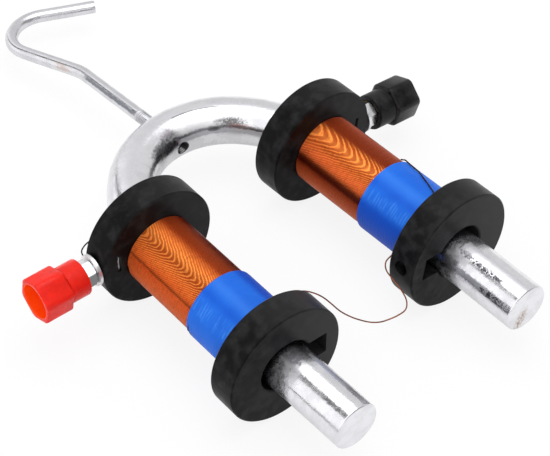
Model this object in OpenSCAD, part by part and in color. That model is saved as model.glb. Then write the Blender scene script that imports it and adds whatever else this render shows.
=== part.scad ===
// Horseshoe electromagnet lying on the rims of its four coil flanges.
// X runs across the legs, Y along them from the pole faces to the crown, and Z is up.
// The origin is midway between the two pole faces, on the level of the bar's axis.

/* [Core bar] */
// Diameter of the round iron bar
bar_d = 14; // [12:0.5:14.5]
// Distance between the axes of the two legs
leg_spacing = 61; // [58:1:68]
// Straight length of each leg, from its pole face to the bend
leg_len = 80; // [78:1:95]
// Centreline radius of the wide bend at each shoulder
shoulder_r = 38; // [36:1:42]
// Centreline radius of the bend at the crown
crown_r = 27; // [24:1:28]
// Rounding round the edge of each pole face
pole_edge = 0.6; // [0.2:0.1:1.2]

/* [Hook] */
// Diameter of the hook's wire, which is also its thread
hook_d = 4; // [3:0.5:5]
// Depth of empty thread left in the crown at its inner side
hook_recess = 3; // [1:0.5:5]
// Straight shank outside the crown
hook_shank = 34.5; // [25:0.5:45]
// Angle of the kink in the shank
hook_kink = 18.5; // [5:0.5:25]
// Centreline radius of the kink
hook_kink_r = 15; // [10:1:24]
// Straight run between the kink and the round bend
hook_run = 19.5; // [15:0.5:30]
// Centreline radius of the round bend
hook_bend_r = 10.5; // [8:0.5:14]
// Angle that the round bend turns through
hook_bend = 137; // [110:1:150]
// Straight tip after the round bend
hook_tip = 17; // [8:1:22]
// Angle by which the hook droops below the level of the legs
hook_droop = 6; // [0:0.5:8]
// Angle by which the hook leans sideways
hook_lean = 1; // [0:0.5:4]

/* [Bobbins] */
// Distance from the pole faces to the front flanges
bobbin_start = 26.5; // [18:0.5:26.5]
// Length of each bobbin over its flanges
bobbin_len = 63.8; // [52:0.2:63.8]
// Diameter of the flanges
flange_d = 36.5; // [34:0.5:37.5]
// Thickness of the flanges
flange_t = 8.8; // [8.6:0.2:10]
// Radial gap between the bar and the bore of the bobbin
bore_gap = 1.1; // [1.1:0.1:1.4]
// Wall of the tube that carries the winding
tube_wall = 1.2; // [0.8:0.1:1.6]
// Chamfer on the rims of the flanges
flange_edge = 0.4; // [0.2:0.1:0.8]
// Chamfer at both mouths of the bore
bore_lead_in = 0.4; // [0.2:0.1:0.8]
// Height of the bobbin's axis above the bar's axis
bobbin_lift = 0.5; // [0.3:0.1:0.6]
// Angle by which each bobbin's rear end is drawn in by the bend
bobbin_turn = 1.2; // [0.9:0.1:1.4]
// Roll of the left bobbin, post down is positive
left_roll = -1.5; // [-6:0.5:6]
// Roll of the right bobbin, post down is positive
right_roll = 8.5; // [0:0.5:10]

/* [Nut pockets] */
// Distance from the bobbin's axis to the outer wall of a nut pocket
pocket_reach = 13.6; // [13:0.1:14]
// Width of a nut pocket
pocket_w = 7.2; // [7.1:0.1:8]
// Plastic left between a nut pocket and the winding
pocket_floor = 0.8; // [0.6:0.1:0.9]
// Diameter of the radial hole from the rim into a nut pocket
post_hole_d = 4.3; // [4.2:0.1:5]
// Length of the slit that lets the coil's end into a nut pocket
slit_len = 6; // [4:0.5:6.5]
// Width of that slit
slit_w = 1; // [0.8:0.1:1.4]

/* [Windings and tape] */
// Outer diameter of the copper windings
winding_d = 21.3; // [20:0.1:24]
// Thickness of the blue tape over the windings
tape_t = 0.5; // [0.2:0.1:0.8]
// Winding left bare between the front flange and the tape
tape_start = 0.7; // [0.6:0.1:2]
// Width of the left band of tape
left_tape_w = 18.2; // [15:0.2:22]
// Width of the right band of tape
right_tape_w = 19.4; // [15:0.2:20]
// Thickness of the lapped tail at the end of each band
tail_t = 0.2; // [0.1:0.05:0.3]
// Angle that the lapped tail covers
tail_angle = 46; // [20:2:80]

/* [Binding posts] */
// Diameter of the threaded stud
stud_d = 4; // [3.5:0.1:4]
// Distance across the flats of the clamp nut
nut_af = 7; // [6.5:0.1:8]
// Height of the clamp nut
nut_h = 3.2; // [2.4:0.1:4]
// Outer diameter of the washer
washer_d = 9.4; // [8:0.2:10]
// Thickness of the washer
washer_t = 0.9; // [0.5:0.1:1.2]
// Side of the square nut in the pocket
square_nut = 7; // [6.6:0.1:7]
// Thickness of the square nut
square_nut_t = 2.2; // [1.6:0.1:2.6]
// Length of stud inward of the square nut
stud_tail = 0.6; // [0.2:0.1:1]
// Room left in the cap beyond the end of its stud
stud_short = 1.2; // [1:0.2:3]

/* [Terminal caps] */
// Overall length of a cap
cap_len = 15; // [14.5:0.5:20]
// Length of the six-sided head
head_len = 9; // [8:0.2:10.6]
// Distance across the flats of the head
head_af = 12.2; // [11.4:0.1:13]
// Diameter over the rounded corners of the head
head_corner_d = 13.4; // [12.8:0.1:14]
// Chamfer on the end of the head that faces the neck
head_chamfer = 0.7; // [0.3:0.1:1.2]
// Angle by which the red cap is screwed round
red_cap_turn = 10; // [0:2:58]
// Angle by which the black cap is screwed round
black_cap_turn = 12; // [0:2:58]
// Diameter of the neck
neck_d = 10.8; // [9.5:0.1:11]
// Diameter of the hollow mouth
mouth_d = 10.2; // [9:0.1:10.6]
// Depth of the hollow mouth
mouth_depth = 6; // [5:0.2:6.5]
// Outer diameter of the brass insert
insert_d = 7.4; // [6:0.1:8]
// Length of the brass insert
insert_len = 7.2; // [5:0.2:7.4]

/* [Wires] */
// Diameter of the enamelled copper wire
wire_d = 0.4; // [0.3:0.05:0.5]

/* [Fits] */
// Radial gap where a thread or a shaft sits in its hole
thread_gap = 0.05; // [0.02:0.01:0.08]
// Gap between seated faces
seat_gap = 0.05; // [0.02:0.01:0.1]
// Gap between the layers wound on a bobbin
layer_gap = 0.1; // [0.05:0.01:0.15]

/* [Hidden] */
$fn = 64;
cut = 1;
wire_sides = 8;

// What the radius loses where a bar or a wire was bent, and how far the full size reaches into the bend
bend_thin = 0.02;
bend_lap = 0.1;

plated = [0.80, 0.81, 0.83];
nickel = [0.75, 0.76, 0.78];
black = [0.06, 0.06, 0.07];
brass = [0.78, 0.62, 0.30];
red = [0.90, 0.10, 0.06];
blue = [0.10, 0.33, 0.90];
left_copper = [0.80, 0.33, 0.10];
right_copper = [0.70, 0.25, 0.10];

// Core bar
leg_x = leg_spacing / 2;
bar_r = bar_d / 2;
shoulder_angle = acos((shoulder_r - leg_x) / (shoulder_r - crown_r));
crown_y = leg_len + (shoulder_r - crown_r) * sin(shoulder_angle);
crown_top = crown_y + crown_r;
crown_lap = bend_lap / crown_r * 180 / PI;
hook_hole_d = hook_d + 2 * thread_gap;

// Bobbins, in their own frame: the axis is Y, the post points to +X, the middle is the origin
bore_r = bar_r + bore_gap;
tube_r = bore_r + tube_wall;
flange_r = flange_d / 2;
half_len = bobbin_len / 2;
inner_y = half_len - flange_t;
bobbin_mid = bobbin_start + half_len;
post_y = half_len - flange_t / 2;
pocket_depth = flange_t - pocket_floor;
slit_low = -1;

// Windings and tape
winding_r = winding_d / 2;
tape_in_r = winding_r + layer_gap;
tape_r = tape_in_r + tape_t;
tail_r = tape_r + tail_t;
tape_lap = 12;

// Binding posts, as distances from the bobbin's axis along the post
square_nut_x = pocket_reach - seat_gap - square_nut_t;
stud_x = square_nut_x - stud_tail;
washer_x = flange_r + wire_d + 2 * seat_gap;
nut_x = washer_x + washer_t + seat_gap;
cap_x = nut_x + nut_h + seat_gap;
stud_end = cap_x + insert_len - stud_short;
nut_corner_drop = 0.5;
nut_bore_d = stud_d + 2 * thread_gap;
insert_hole_d = insert_d + 2 * thread_gap;

// Routes of the wires, which keep this gap from what they lie on
wire_r = wire_d / 2;
wire_gap = 0.1;
on_winding = winding_r + wire_r + wire_gap;
on_tape = tape_r + wire_r + wire_gap;
by_flange = wire_r + wire_gap - inner_y;
tape_end = tape_start - inner_y + right_tape_w;
behind = half_len + 0.8;
under_washer = flange_r + wire_r + seat_gap;
half_gap = leg_x - flange_r;

// Coil start in a bobbin's frame: out of the nut pocket, up the flange's back and under the washer
start_route = [
    [bore_r + 1.5, half_len - 1.3, 2.2],
    [bore_r + 2.3, half_len + 0.1, 2.8],
    [pocket_reach - 0.8, behind, 4.2],
    [flange_r - 2.8, behind, 4.9],
    [flange_r - 1, behind, 4.6],
    [flange_r + 0.25, behind, 3.5],
    [flange_r + 0.5, behind, 2.4],
    [flange_r + 0.4, behind - 0.3, 1.5],
    [under_washer, half_len + 0.1, 1.1],
    [under_washer, post_y + 3.6, 0.9],
    [under_washer, post_y + 2.8, 0.9]
];

// First part of the link wire in the right bobbin's frame, from its winding over the tape to the flange
// Each row has the distance along the bobbin, the angle round it and the distance from its axis
link_start = [
    [tape_end + 1.8, 56, on_winding],
    [tape_end + 0.9, 57, on_winding + 0.35],
    [tape_end + 0.2, 58, on_tape + 0.05],
    [tape_end - 2, 60, on_tape],
    [tape_end - 5.9, 63.5, on_tape],
    [tape_end - 9.2, 71.5, on_tape],
    [tape_end - 12.5, 78.5, on_tape],
    [by_flange + 3.8, 86, on_tape],
    [by_flange + 1.2, 95, on_tape],
    [by_flange + 0.2, 110, on_tape],
    [by_flange + 0.1, 128, on_tape],
    [by_flange + 0.1, 146, on_tape],
    [by_flange + 0.3, 162, on_tape]
];

// Middle part, round the right flange's rim and across to the left coil
// Each row has the place across, the distance behind the front flanges and the height
// Across, 0 is the middle, 1 the rim of the right flange and 2 its axis
link_middle = [
    [1.29, 1.0, 3.3], [1.15, 0.9, 2.5], [1.02, 0.6, 1.7], [0.95, -0.7, 0.2], [0.94, -3.3, -1.0],
    [0.94, -6.1, -2.1], [0.915, -8.9, -3.5], [0.92, -9.6, -5.9], [0.905, -9.2, -8.6], [0.77, -8.2, -10.3],
    [0.59, -7.2, -11.1], [0.38, -6.3, -11.1], [0.15, -5.3, -9.9], [-0.07, -4.1, -8.0], [-0.28, -3.1, -5.6],
    [-0.51, -2.1, -2.2], [-0.7, -1.1, 1.6], [-0.85, -0.2, 4.5], [-1.0, 0.6, 6.7], [-1.14, 1.1, 9.2],
    [-1.28, 1.2, 11.1]
];

// Last part in the left bobbin's frame, down onto its winding between the flange and the tape
link_end = [
    [by_flange + 0.8, 138, 16],
    [by_flange + 0.2, 131, 13.9],
    [by_flange + 0.05, 122, 12],
    [by_flange + 0.05, 112, on_winding + 0.2],
    [by_flange + 0.05, 98, on_winding]
];

function across(u) = abs(u) < 1 ? u * half_gap : sign(u) * (half_gap + (abs(u) - 1) * flange_r);
function round_bobbin(p) = [p[2] * cos(p[1]), p[0], p[2] * sin(p[1])];
function rolled(p, a) = [p[0] * cos(a) + p[2] * sin(a), p[1], p[2] * cos(a) - p[0] * sin(a)];
function turned(p, a) = [p[0] * cos(a) - p[1] * sin(a), p[0] * sin(a) + p[1] * cos(a), p[2]];
function on_right(p) = [leg_x, bobbin_mid, bobbin_lift] + turned(rolled(p, right_roll), bobbin_turn);
function flipped(p) = [-p[0], p[1], p[2]];
function on_left(p) = flipped([leg_x, bobbin_mid, bobbin_lift] + turned(rolled(p, left_roll), bobbin_turn));
link_route = concat(
    [for (p = link_start) on_right(round_bobbin(p))],
    [for (p = link_middle) [across(p[0]), bobbin_start + flange_t + p[1], p[2]]],
    [for (p = link_end) on_left(round_bobbin(p))]
);

// Places what is built in a bobbin's frame: side is 1 for the right leg and -1 for the left
module on_leg(side, roll) {
    mirror([side < 0 ? 1 : 0, 0, 0])
        translate([leg_x, bobbin_mid, bobbin_lift])
            rotate([0, 0, bobbin_turn])
                rotate([0, roll, 0])
                    children();
}

// Turns the Z axis of its children to the bobbin's axis, Y
module along_bobbin() {
    rotate([-90, 0, 0]) children();
}

// Turns the Z axis of its children to the post's axis and moves them out to x
module along_post(x) {
    translate([x, post_y, 0]) rotate([0, 90, 0]) children();
}

// A straight leg of the core with a rounded pole face at the origin, running to +Y
module leg() {
    rotate([-90, 0, 0])
        rotate_extrude()
            difference() {
                square([bar_r, leg_len + bend_lap]);
                translate([bar_r - pole_edge, 0])
                    difference() {
                        translate([0, -cut]) square([pole_edge + cut, pole_edge + cut]);
                        translate([0, pole_edge]) circle(r = pole_edge, $fn = 32);
                    }
            }
}

// Part of the bent bar in the XY plane, centred on the origin, from one angle to the other
module bar_arc(radius, tube_d, from, to) {
    rotate([0, 0, from])
        rotate_extrude(angle = to - from)
            translate([radius, 0])
                circle(d = tube_d);
}

// Places its children at the inner mouth of the hook's hole, heading out through the crown
module at_crown() {
    translate([0, crown_top - bar_r, 0])
        rotate([-hook_droop, 0, -hook_lean])
            children();
}

module core() {
    color(plated)
        difference() {
            union() {
                for (flip = [0, 1])
                    mirror([flip, 0, 0]) {
                        translate([leg_x, 0, 0]) leg();
                        translate([leg_x - shoulder_r, leg_len, 0])
                            bar_arc(shoulder_r, bar_d - 2 * bend_thin, 0, shoulder_angle);
                    }
                translate([0, crown_y, 0])
                    bar_arc(crown_r, bar_d, shoulder_angle - crown_lap, 180 - shoulder_angle + crown_lap);
            }
            at_crown()
                translate([0, -bar_r, 0])
                    along_bobbin()
                        cylinder(d = hook_hole_d, h = 2 * bar_d, $fn = 32);
        }
}

// A straight length of hook wire that runs from the origin to +Y and reaches back into the bend before it
module hook_straight(length, back) {
    translate([0, -back, 0])
        along_bobbin()
            cylinder(d = hook_d, h = length + back, $fn = 32);
}

// A bend of hook wire that starts at the origin heading to +Y and turns to +X
module hook_arc(radius, angle, start) {
    translate([radius, 0, 0])
        rotate([0, 0, 180 - angle])
            rotate_extrude(angle = angle)
                translate([radius, 0])
                    rotate(start)
                        circle(d = hook_d - 2 * bend_thin, $fn = 32);
}

// Moves its children to the end of such a bend
module after_arc(radius, angle) {
    translate([radius, 0, 0])
        rotate([0, 0, -angle])
            translate([-radius, 0, 0])
                children();
}

module hook() {
    color(nickel)
        at_crown()
            translate([0, hook_recess, 0]) {
                shank = bar_d - hook_recess + hook_shank;
                hook_straight(shank + bend_lap, 0);
                translate([0, shank, 0])
                    mirror([1, 0, 0]) {
                        hook_arc(hook_kink_r, hook_kink, 0);
                        after_arc(hook_kink_r, hook_kink)
                            mirror([1, 0, 0]) {
                                hook_straight(hook_run + bend_lap, bend_lap);
                                translate([0, hook_run, 0]) {
                                    hook_arc(hook_bend_r, hook_bend, 180);
                                    after_arc(hook_bend_r, hook_bend)
                                        hook_straight(hook_tip, bend_lap);
                                }
                            }
                    }
            }
}

// Half section of a bobbin: distance from the axis, place along it
module bobbin_section() {
    polygon([
        [bore_r + bore_lead_in, -half_len],
        [flange_r - flange_edge, -half_len],
        [flange_r, flange_edge - half_len],
        [flange_r, -inner_y - flange_edge],
        [flange_r - flange_edge, -inner_y],
        [tube_r, -inner_y],
        [tube_r, inner_y],
        [flange_r - flange_edge, inner_y],
        [flange_r, inner_y + flange_edge],
        [flange_r, half_len - flange_edge],
        [flange_r - flange_edge, half_len],
        [bore_r + bore_lead_in, half_len],
        [bore_r, half_len - bore_lead_in],
        [bore_r, bore_lead_in - half_len]
    ]);
}

// The nut pocket, post hole and wire slit of the rear flange, all on its post side
module pocket_cut() {
    translate([bore_r - cut, half_len - pocket_depth, -pocket_w / 2])
        cube([pocket_reach - bore_r + cut, pocket_depth + cut, pocket_w]);
    along_post(pocket_reach - cut)
        cylinder(d = post_hole_d, h = flange_r - pocket_reach + 2 * cut, $fn = 32);
    translate([pocket_reach - slit_w, inner_y - cut, slit_low])
        cube([slit_w, pocket_floor + 2 * cut, slit_len]);
}

module bobbin(side, roll) {
    color(black)
        on_leg(side, roll)
            difference() {
                along_bobbin() rotate_extrude() bobbin_section();
                pocket_cut();
                rotate([0, 0, 180]) pocket_cut();
            }
}

module winding(side, roll, copper) {
    color(copper)
        on_leg(side, roll)
            along_bobbin()
                difference() {
                    cylinder(r = winding_r, h = 2 * (inner_y - seat_gap), center = true);
                    cylinder(r = tube_r + layer_gap, h = bobbin_len, center = true);
                }
}

// Ring sector between two radii, from one angle to the other, less than half a turn
module ring_sector(r1, r2, from, to) {
    reach = 2 * r2;
    intersection() {
        difference() {
            circle(r = r2);
            circle(r = r1);
        }
        polygon([
            [0, 0],
            [reach * cos(from), reach * sin(from)],
            [reach * cos((from + to) / 2), reach * sin((from + to) / 2)],
            [reach * cos(to), reach * sin(to)]
        ]);
    }
}

// A band of tape with a lapped tail that ends just below the level of the axis on the outer side
module tape(side, roll, width) {
    color(blue)
        on_leg(side, roll)
            translate([0, tape_start - inner_y, 0])
                along_bobbin() {
                    difference() {
                        cylinder(r = tape_r, h = width);
                        translate([0, 0, -cut]) cylinder(r = tape_in_r, h = width + 2 * cut);
                    }
                    linear_extrude(width - tail_t)
                        ring_sector(tape_r, tail_r, tape_lap - tail_angle, tape_lap);
                }
}

module stud(side, roll) {
    color(nickel)
        on_leg(side, roll)
            along_post(stud_x)
                cylinder(d = stud_d, h = stud_end - stud_x, $fn = 32);
}

module square_nut(side, roll) {
    color(nickel)
        on_leg(side, roll)
            along_post(square_nut_x)
                difference() {
                    translate([-square_nut / 2, -square_nut / 2, 0])
                        cube([square_nut, square_nut, square_nut_t]);
                    translate([0, 0, -cut])
                        cylinder(d = nut_bore_d, h = square_nut_t + 2 * cut, $fn = 32);
                }
}

module washer(side, roll) {
    color(plated)
        on_leg(side, roll)
            along_post(washer_x)
                difference() {
                    cylinder(d = washer_d, h = washer_t);
                    translate([0, 0, -cut])
                        cylinder(d = post_hole_d, h = washer_t + 2 * cut, $fn = 32);
                }
}

// A hexagonal nut with both ends turned down to a cone at its corners
module clamp_nut(side, roll) {
    corner_r = nut_af / sqrt(3);
    color(nickel)
        on_leg(side, roll)
            along_post(nut_x)
                difference() {
                    intersection() {
                        cylinder(r = corner_r, h = nut_h, $fn = 6);
                        rotate_extrude()
                            polygon([
                                [0, 0],
                                [nut_af / 2, 0],
                                [corner_r, nut_corner_drop],
                                [corner_r, nut_h - nut_corner_drop],
                                [nut_af / 2, nut_h],
                                [0, nut_h]
                            ]);
                    }
                    translate([0, 0, -cut])
                        cylinder(d = nut_bore_d, h = nut_h + 2 * cut, $fn = 32);
                }
}

// Brass sleeve in the neck of a cap, tapped for the stud
module insert(side, roll) {
    color(brass)
        on_leg(side, roll)
            along_post(cap_x + seat_gap)
                difference() {
                    cylinder(d = insert_d, h = insert_len);
                    translate([0, 0, -cut])
                        cylinder(d = nut_bore_d, h = insert_len + 2 * cut, $fn = 32);
                }
}

// A moulded cap: round neck, six-sided head with rounded corners, hollow mouth at the far end
module cap(side, roll, turn, paint) {
    neck_len = cap_len - head_len;
    head_r = head_corner_d / 2;
    color(paint)
        on_leg(side, roll)
            along_post(cap_x)
                difference() {
                    union() {
                        cylinder(d = neck_d, h = neck_len);
                        intersection() {
                            translate([0, 0, neck_len])
                                rotate([0, 0, turn])
                                    cylinder(r = head_af / sqrt(3), h = head_len, $fn = 6);
                            translate([0, 0, neck_len])
                                rotate_extrude()
                                    polygon([
                                        [0, 0],
                                        [head_r - head_chamfer, 0],
                                        [head_r, head_chamfer],
                                        [head_r, head_len],
                                        [0, head_len]
                                    ]);
                        }
                    }
                    translate([0, 0, cap_len - mouth_depth])
                        cylinder(d = mouth_d, h = mouth_depth + cut);
                    translate([0, 0, -cut])
                        cylinder(d = insert_hole_d, h = insert_len + 2 * seat_gap + cut);
                }
}

// Smooth curve through a route's points, with n steps between each two
function between(a, b, c, d, t) =
    0.5 * (2 * b + (c - a) * t + (2 * a - 5 * b + 4 * c - d) * t * t + (3 * b - a - 3 * c + d) * t * t * t);
function smooth(p, n) = [
    for (i = [0 : len(p) - 2])
        for (j = [0 : (i == len(p) - 2 ? n : n - 1)])
            between(p[max(i - 1, 0)], p[i], p[i + 1], p[min(i + 2, len(p) - 1)], j / n)
];
function unit(v) = v / norm(v);
function headings(c) = [
    for (i = [0 : len(c) - 1]) unit(c[min(i + 1, len(c) - 1)] - c[max(i - 1, 0)])
];
function carried(h, i, side) =
    i >= len(h) ? [] : let (s = unit(side - (side * h[i]) * h[i])) concat([s], carried(h, i + 1, s));

// A round wire swept along a route, with n steps between each two of its points
module wire(route, n) {
    c = smooth(route, n);
    h = headings(c);
    s = carried(h, 0, cross(h[0], [0.1, 0.3, 1]));
    m = wire_sides;
    last = len(c) - 1;
    points = [
        for (i = [0 : last])
            for (k = [0 : m - 1])
                c[i] + wire_r * (cos(360 * k / m) * s[i] + sin(360 * k / m) * cross(h[i], s[i]))
    ];
    walls = [
        for (i = [0 : last - 1])
            for (k = [0 : m - 1])
                [i * m + k, i * m + (k + 1) % m, (i + 1) * m + (k + 1) % m, (i + 1) * m + k]
    ];
    ends = [
        [for (k = [0 : m - 1]) m - 1 - k],
        [for (k = [0 : m - 1]) last * m + k]
    ];
    polyhedron(points, concat(walls, ends));
}

module start_lead(side, roll, copper) {
    color(copper)
        on_leg(side, roll)
            wire(start_route, 3);
}

module link_wire() {
    color(right_copper)
        wire(link_route, 2);
}

core();
hook();
bobbin(-1, left_roll);  // left_bobbin
bobbin(1, right_roll);  // right_bobbin
winding(-1, left_roll, left_copper);  // left_winding
winding(1, right_roll, right_copper);  // right_winding
tape(-1, left_roll, left_tape_w);  // left_tape
tape(1, right_roll, right_tape_w);  // right_tape
stud(-1, left_roll);  // left_stud
stud(1, right_roll);  // right_stud
square_nut(-1, left_roll);  // left_square_nut
square_nut(1, right_roll);  // right_square_nut
washer(-1, left_roll);  // left_washer
washer(1, right_roll);  // right_washer
clamp_nut(-1, left_roll);  // left_clamp_nut
clamp_nut(1, right_roll);  // right_clamp_nut
insert(-1, left_roll);  // red_insert
insert(1, right_roll);  // black_insert
cap(-1, left_roll, red_cap_turn, red);  // red_cap
cap(1, right_roll, black_cap_turn, black);  // black_cap
start_lead(-1, left_roll, left_copper);  // left_start_lead
start_lead(1, right_roll, right_copper);  // right_start_lead
link_wire();
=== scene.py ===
# %% [markdown]
# # A horseshoe electromagnet, dressed for its portrait
#
# A round iron bar is bent into a horseshoe and plated. Each leg carries a black bobbin wound with
# enamelled copper wire, and a band of blue tape holds the last turns down. A wire hook is screwed into
# the crown, and a red and a black screw cap clamp the ends of the coils.
#
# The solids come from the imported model, and this script dresses them. Everything is in metres, in the
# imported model's own frame: X runs across the legs, Y from the pole faces to the crown, Z is up.

import math

import bmesh
import bpy
from mathutils import Matrix, Vector, noise


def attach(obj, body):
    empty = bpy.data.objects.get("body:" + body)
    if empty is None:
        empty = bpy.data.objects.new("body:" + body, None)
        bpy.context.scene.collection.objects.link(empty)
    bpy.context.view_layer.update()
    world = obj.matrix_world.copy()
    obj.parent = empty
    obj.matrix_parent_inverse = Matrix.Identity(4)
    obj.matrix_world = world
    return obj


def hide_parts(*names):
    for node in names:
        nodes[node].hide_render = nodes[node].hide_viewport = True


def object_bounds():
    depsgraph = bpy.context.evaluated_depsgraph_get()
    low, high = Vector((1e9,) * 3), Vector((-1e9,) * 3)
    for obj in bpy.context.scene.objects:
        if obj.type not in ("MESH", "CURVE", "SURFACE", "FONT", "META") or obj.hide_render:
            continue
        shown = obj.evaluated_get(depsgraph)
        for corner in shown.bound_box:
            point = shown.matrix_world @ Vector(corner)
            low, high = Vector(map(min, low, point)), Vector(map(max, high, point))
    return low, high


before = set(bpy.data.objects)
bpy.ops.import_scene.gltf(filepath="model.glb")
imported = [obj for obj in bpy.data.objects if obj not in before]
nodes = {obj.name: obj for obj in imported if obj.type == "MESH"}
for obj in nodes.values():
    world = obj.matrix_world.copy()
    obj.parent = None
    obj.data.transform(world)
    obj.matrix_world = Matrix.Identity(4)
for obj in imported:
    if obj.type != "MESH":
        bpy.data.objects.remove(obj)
cad_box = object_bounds()
print("nodes:", len(nodes), "box:", [tuple(round(x, 4) for x in corner) for corner in cad_box])

# %% [markdown]
# ## The sizes that the pieces share
#
# A maker would read these off the drawing, so they are written once, in millimetres, with the names
# that the drawing gives them. Lengths become metres only where a point reaches a mesh.

# %% Sizes from the drawing, in millimetres
MM = 0.001
BAR_R, LEG_X, CROWN_INNER, CROWN_R, CROWN_Y = 7.0, 30.5, 108.05, 27.0, 88.05
BOBBIN_MID, BOBBIN_LIFT, BOBBIN_TURN = 58.4, 0.5, 1.2
ROLL = {"left": -1.5, "right": 8.5}
SIDE = {"left": -1, "right": 1}
HALF_LEN, INNER_Y, FLANGE_R, BORE_R = 31.9, 23.1, 18.25, 8.1
POCKET_REACH, POST_Y = 13.6, 27.5
WINDING_R, TAPE_IN_R, TAPE_R = 10.65, 10.75, 11.25
TAPE_W = {"left": 18.2, "right": 19.4}
TAPE_START = 0.7 - INNER_Y  # the tape begins 0.7 mm from the front flange
WIRE_D = 0.4
print("coil window between the flanges:", 2 * INNER_Y, "mm")

# %% [markdown]
# ## The camera comes first
#
# The magnet was photographed from above its left pole with a long lens, so its legs hardly
# converge. A camera is a position and three directions: what it looks along, what is right and what
# is up. Written as the columns of a matrix they need no angles at all. The long lens is kept, because
# a shorter one at the same framing would swell the near poles.

# %% Camera
RIGHT = (0.759538, -0.650430, -0.006511)
UP = (0.472739, 0.545109, 0.692368)
AHEAD = (0.446788, 0.528958, -0.721515)
CAMERA_PLACE = (-0.24818, -0.22640, 0.39959)
SENSOR, LENS = 36, 130.9

camera = bpy.data.objects.new("camera", bpy.data.cameras.new("camera"))
bpy.context.scene.collection.objects.link(camera)
turned = Matrix([(RIGHT[i], UP[i], -AHEAD[i]) for i in range(3)]).to_4x4()
camera.matrix_world = Matrix.Translation(CAMERA_PLACE) @ turned
camera.data.sensor_fit = "HORIZONTAL"
camera.data.sensor_width = SENSOR
camera.data.lens = LENS
camera.data.clip_start = 0.02
bpy.context.scene.camera = camera
print("camera at", [round(x, 3) for x in camera.location], "lens", round(camera.data.lens, 1), "mm")

# %% [markdown]
# ## Working in a bobbin's own frame
#
# Both bobbins sit a little crooked on their legs, as real ones do. Every piece on a bobbin is easier to
# shape as if its axis were Y and its terminal pointed along +X, and one matrix then carries it to its
# leg. The left leg is the mirror image of the right one. A mirrored object would turn its faces inside
# out, so the mirror is paired with a flip of Z, which makes it an honest turn: points for the left side
# are given with their height flipped.

# %% Frames of the legs and of the hook
def leg_frame(side):
    """Matrix from a bobbin's own frame, in metres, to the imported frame."""
    seat = (
        Matrix.Translation((LEG_X * MM, BOBBIN_MID * MM, BOBBIN_LIFT * MM))
        @ Matrix.Rotation(math.radians(BOBBIN_TURN), 4, "Z")
        @ Matrix.Rotation(math.radians(ROLL[side]), 4, "Y")
    )
    if side == "right":
        return seat
    return Matrix.Diagonal((-1, 1, 1, 1)) @ seat @ Matrix.Diagonal((1, 1, -1, 1))


LEG = {side: leg_frame(side) for side in ("left", "right")}
HOOK_DROOP, HOOK_LEAN = 6, 1
CROWN = (
    Matrix.Translation((0, CROWN_INNER * MM, 0))
    @ Matrix.Rotation(math.radians(-HOOK_LEAN), 4, "Z")
    @ Matrix.Rotation(math.radians(-HOOK_DROOP), 4, "X")
)


def at(x, y, z, side="right"):
    """A point in a bobbin's frame, millimetres in and metres out."""
    return Vector((x, y, SIDE[side] * z)) * MM


print("left post points along", [round(x, 3) for x in LEG["left"].to_3x3() @ Vector((1, 0, 0))])

# %% [markdown]
# ## The loose wire between the coils
#
# The two coils are joined by a single strand of their own winding wire. It leaves the right coil from
# under the tape, loops round the rim of the flange, hangs across the gap and dives behind the left
# flange. A curve with a round bevel is the right tool, because the strand keeps one thickness however
# it bends. The route is the drawing's, with a few points per bend and a smooth spline through them.

# %% Route of the link wire
LOOSE, PINCHED = 0.1, 0.05  # what a wire keeps from the face it lies on, free or held down
by_flange = WIRE_D / 2 + LOOSE - INNER_Y
tape_end = TAPE_START + TAPE_W["right"]
on_winding, on_tape = WINDING_R + WIRE_D / 2 + LOOSE, TAPE_R + WIRE_D / 2 + LOOSE
behind, under_washer = HALF_LEN + 0.8, FLANGE_R + WIRE_D / 2 + PINCHED
half_gap = LEG_X - FLANGE_R

# Round a bobbin a row is (place along it, angle in degrees, distance from its axis). Between the
# flanges it is (place across the gap, distance behind the flanges' inner faces, height).
link_start = [
    (tape_end + 1.8, 56, on_winding), (tape_end + 0.9, 57, on_winding + 0.35),
    (tape_end + 0.2, 58, on_tape + 0.05), (tape_end - 2, 60, on_tape),
    (tape_end - 5.9, 63.5, on_tape), (tape_end - 9.2, 71.5, on_tape),
    (tape_end - 12.5, 78.5, on_tape), (by_flange + 3.8, 86, on_tape),
    (by_flange + 1.2, 95, on_tape), (by_flange + 0.2, 110, on_tape),
    (by_flange + 0.1, 128, on_tape), (by_flange + 0.1, 146, on_tape),
    (by_flange + 0.3, 162, on_tape),
]
link_middle = [
    (1.29, 1.0, 3.3), (1.15, 0.9, 2.5), (1.02, 0.6, 1.7), (0.95, -0.7, 0.2), (0.94, -3.3, -1.0),
    (0.94, -6.1, -2.1), (0.915, -8.9, -3.5), (0.92, -9.6, -5.9), (0.905, -9.2, -8.6),
    (0.77, -8.2, -10.3), (0.59, -7.2, -11.1), (0.38, -6.3, -11.1), (0.15, -5.3, -9.9),
    (-0.07, -4.1, -8.0), (-0.28, -3.1, -5.6), (-0.51, -2.1, -2.2), (-0.7, -1.1, 1.6),
    (-0.85, -0.2, 4.5), (-1.0, 0.6, 6.7), (-1.14, 1.1, 9.2), (-1.28, 1.2, 11.1),
]
link_end = [
    (by_flange + 0.8, 138, 16), (by_flange + 0.2, 131, 13.9), (by_flange + 0.05, 122, 12),
    (by_flange + 0.05, 112, on_winding + 0.2), (by_flange + 0.05, 98, on_winding),
]


def round_bobbin(side, along, angle, reach):
    """A point at an angle round a bobbin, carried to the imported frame."""
    turn = math.radians(angle)
    return LEG[side] @ at(reach * math.cos(turn), along, reach * math.sin(turn), side)


def across(u):
    """Distance from the middle: 1 is the rim of a flange and 2 its axis."""
    return u * half_gap if abs(u) < 1 else math.copysign(half_gap + (abs(u) - 1) * FLANGE_R, u)


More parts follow.
